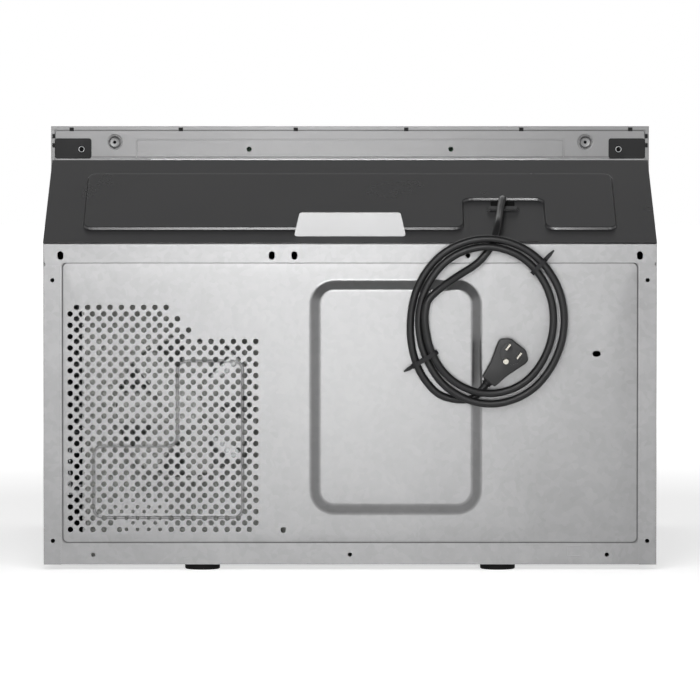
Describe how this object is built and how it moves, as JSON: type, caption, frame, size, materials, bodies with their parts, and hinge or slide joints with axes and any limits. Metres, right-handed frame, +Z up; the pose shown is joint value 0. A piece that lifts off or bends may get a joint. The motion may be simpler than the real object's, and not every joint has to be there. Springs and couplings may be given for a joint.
{
  "type": "microwave drawer",
  "caption": "Built-in microwave drawer oven: sheet-metal body with vented rear, sloped rear cover, coiled cord, flanged front frame and a power-driven slide-out drawer.",
  "frame": {"origin": "on the surface the feet stand on, midway across the overall width and depth, the cord left out", "axes": "+Z up, front towards -Y, +X to the left as seen from behind"},
  "size_m": [0.606, 0.6333, 0.4065],
  "materials": {
    "galvanised_sheet": "satin galvanised",
    "dark_sheet": "semi-gloss dark grey",
    "black_sheet": "satin black",
    "grey_frame": "satin grey",
    "stainless_front": "brushed",
    "bright_steel": "zinc plated",
    "slide_steel": "zinc plated",
    "black_glass": "gloss",
    "tinted_glass": "gloss",
    "clear_pane": "gloss",
    "cavity_enamel": "gloss light grey",
    "tub_plastic": "light grey",
    "ceramic_plate": "gloss",
    "rubber_black": "matt",
    "cord_jacket": "satin",
    "plug_plastic": "satin",
    "black_plastic": "matt",
    "white_plastic": "matt",
    "mica_cover": "matt",
    "blade_brass": "nickel plated",
    "board_green": "matt",
    "aluminium_part": "satin",
    "core_steel": "varnished",
    "gear_nylon": "matt"
  },
  "bodies": {
    "chassis": {"anti_tip_plate": "bright_steel", "base_pan": "galvanised_sheet", "cabinet_brackets": "black_sheet", "cavity_lamp": "white_plastic", "control_board": "board_green", "control_glass": "black_glass", "control_housing": "black_plastic", "cord_coil": "cord_jacket", "cord_cover": "black_sheet", "cord_strain_relief": "rubber_black", "drive_motor": "aluminium_part", "fan_duct": "galvanised_sheet", "fan_motor": "black_plastic", "fascia_clips": "black_plastic", "fascia_frame": "grey_frame", "fascia_trim": "stainless_front", "high_voltage_capacitor": "bright_steel", "high_voltage_transformer": "core_steel", "interlock_switches": "black_plastic", "magnetron": "bright_steel", "noise_filter": "board_green", "outer_rails": "slide_steel", "oven_cavity": "cavity_enamel", "plug_blades": "blade_brass", "plug_lead": "cord_jacket", "power_cord": "cord_jacket", "power_plug": "plug_plastic", "rail_spacers": "bright_steel", "rear_panel": "galvanised_sheet", "rear_slope_cover": "dark_sheet", "rear_top_bar": "galvanised_sheet", "rubber_feet": "rubber_black", "shaft_stands": "bright_steel", "side_panel_left": "galvanised_sheet", "side_panel_right": "galvanised_sheet", "stirrer_cover": "mica_cover", "stirrer_motor": "aluminium_part", "thermal_cutouts": "black_plastic", "top_cover": "galvanised_sheet", "twist_ties": "black_plastic", "waveguide": "galvanised_sheet"},
    "drawer": {"drawer_front_panel": "stainless_front", "window_glass": "tinted_glass", "door_inner_frame": "grey_frame", "window_screen": "black_sheet", "choke_cover": "galvanised_sheet", "inner_window": "clear_pane", "drawer_tub": "tub_plastic", "ceramic_base": "ceramic_plate", "inner_rails": "slide_steel", "drawer_arms": "bright_steel", "gear_racks": "gear_nylon"},
    "middle_slides": {"middle_rails": "slide_steel"},
    "cross_shaft": {"drive_shaft": "bright_steel", "drive_pinions": "gear_nylon", "drive_gear": "gear_nylon"},
    "motor_output": {"motor_gear": "gear_nylon"},
    "plungers": {"switch_plungers": "white_plastic"},
    "fan": {"fan_wheel": "white_plastic"},
    "stirrer": {"stirrer_blades": "aluminium_part"}
  },
  "joints": [
    {"name": "drawer_slide", "type": "slide", "parent": "chassis", "child": "drawer", "axis": [0, -1, 0], "range_m": [0, 0.38]},
    {"name": "middle_slide", "type": "slide", "parent": "chassis", "child": "middle_slides", "axis": [0, -1, 0], "range_m": [0, 0.19]},
    {"name": "shaft_turn", "type": "hinge", "parent": "chassis", "child": "cross_shaft", "pos_m": [0, -0.23375, 0.033], "axis": [1, 0, 0], "range_deg": [0, 1560]},
    {"name": "motor_gear_turn", "type": "hinge", "parent": "chassis", "child": "motor_output", "pos_m": [0.12, -0.20225, 0.033], "axis": [1, 0, 0], "range_deg": [-3115, 0]},
    {"name": "plunger_out", "type": "slide", "parent": "chassis", "child": "plungers", "axis": [0, -1, 0], "range_m": [0, 0.0026]},
    {"name": "fan_spin", "type": "hinge", "parent": "chassis", "child": "fan", "pos_m": [0.15, 0.24925, 0.147], "axis": [0, 1, 0], "continuous": true},
    {"name": "stirrer_spin", "type": "hinge", "parent": "chassis", "child": "stirrer", "pos_m": [0, -0.04595, 0.27], "axis": [0, 0, 1], "continuous": true}
  ],
  "couplings": [
    {"joint": "middle_slide", "follows": "drawer_slide", "ratio": 0.5},
    {"joint": "shaft_turn", "follows": "drawer_slide", "rad_per_m": 71.429},
    {"joint": "motor_gear_turn", "follows": "drawer_slide", "rad_per_m": -142.86},
    {"joint": "plunger_out", "follows": "drawer_slide", "ratio": 0.0065789}
  ]
}
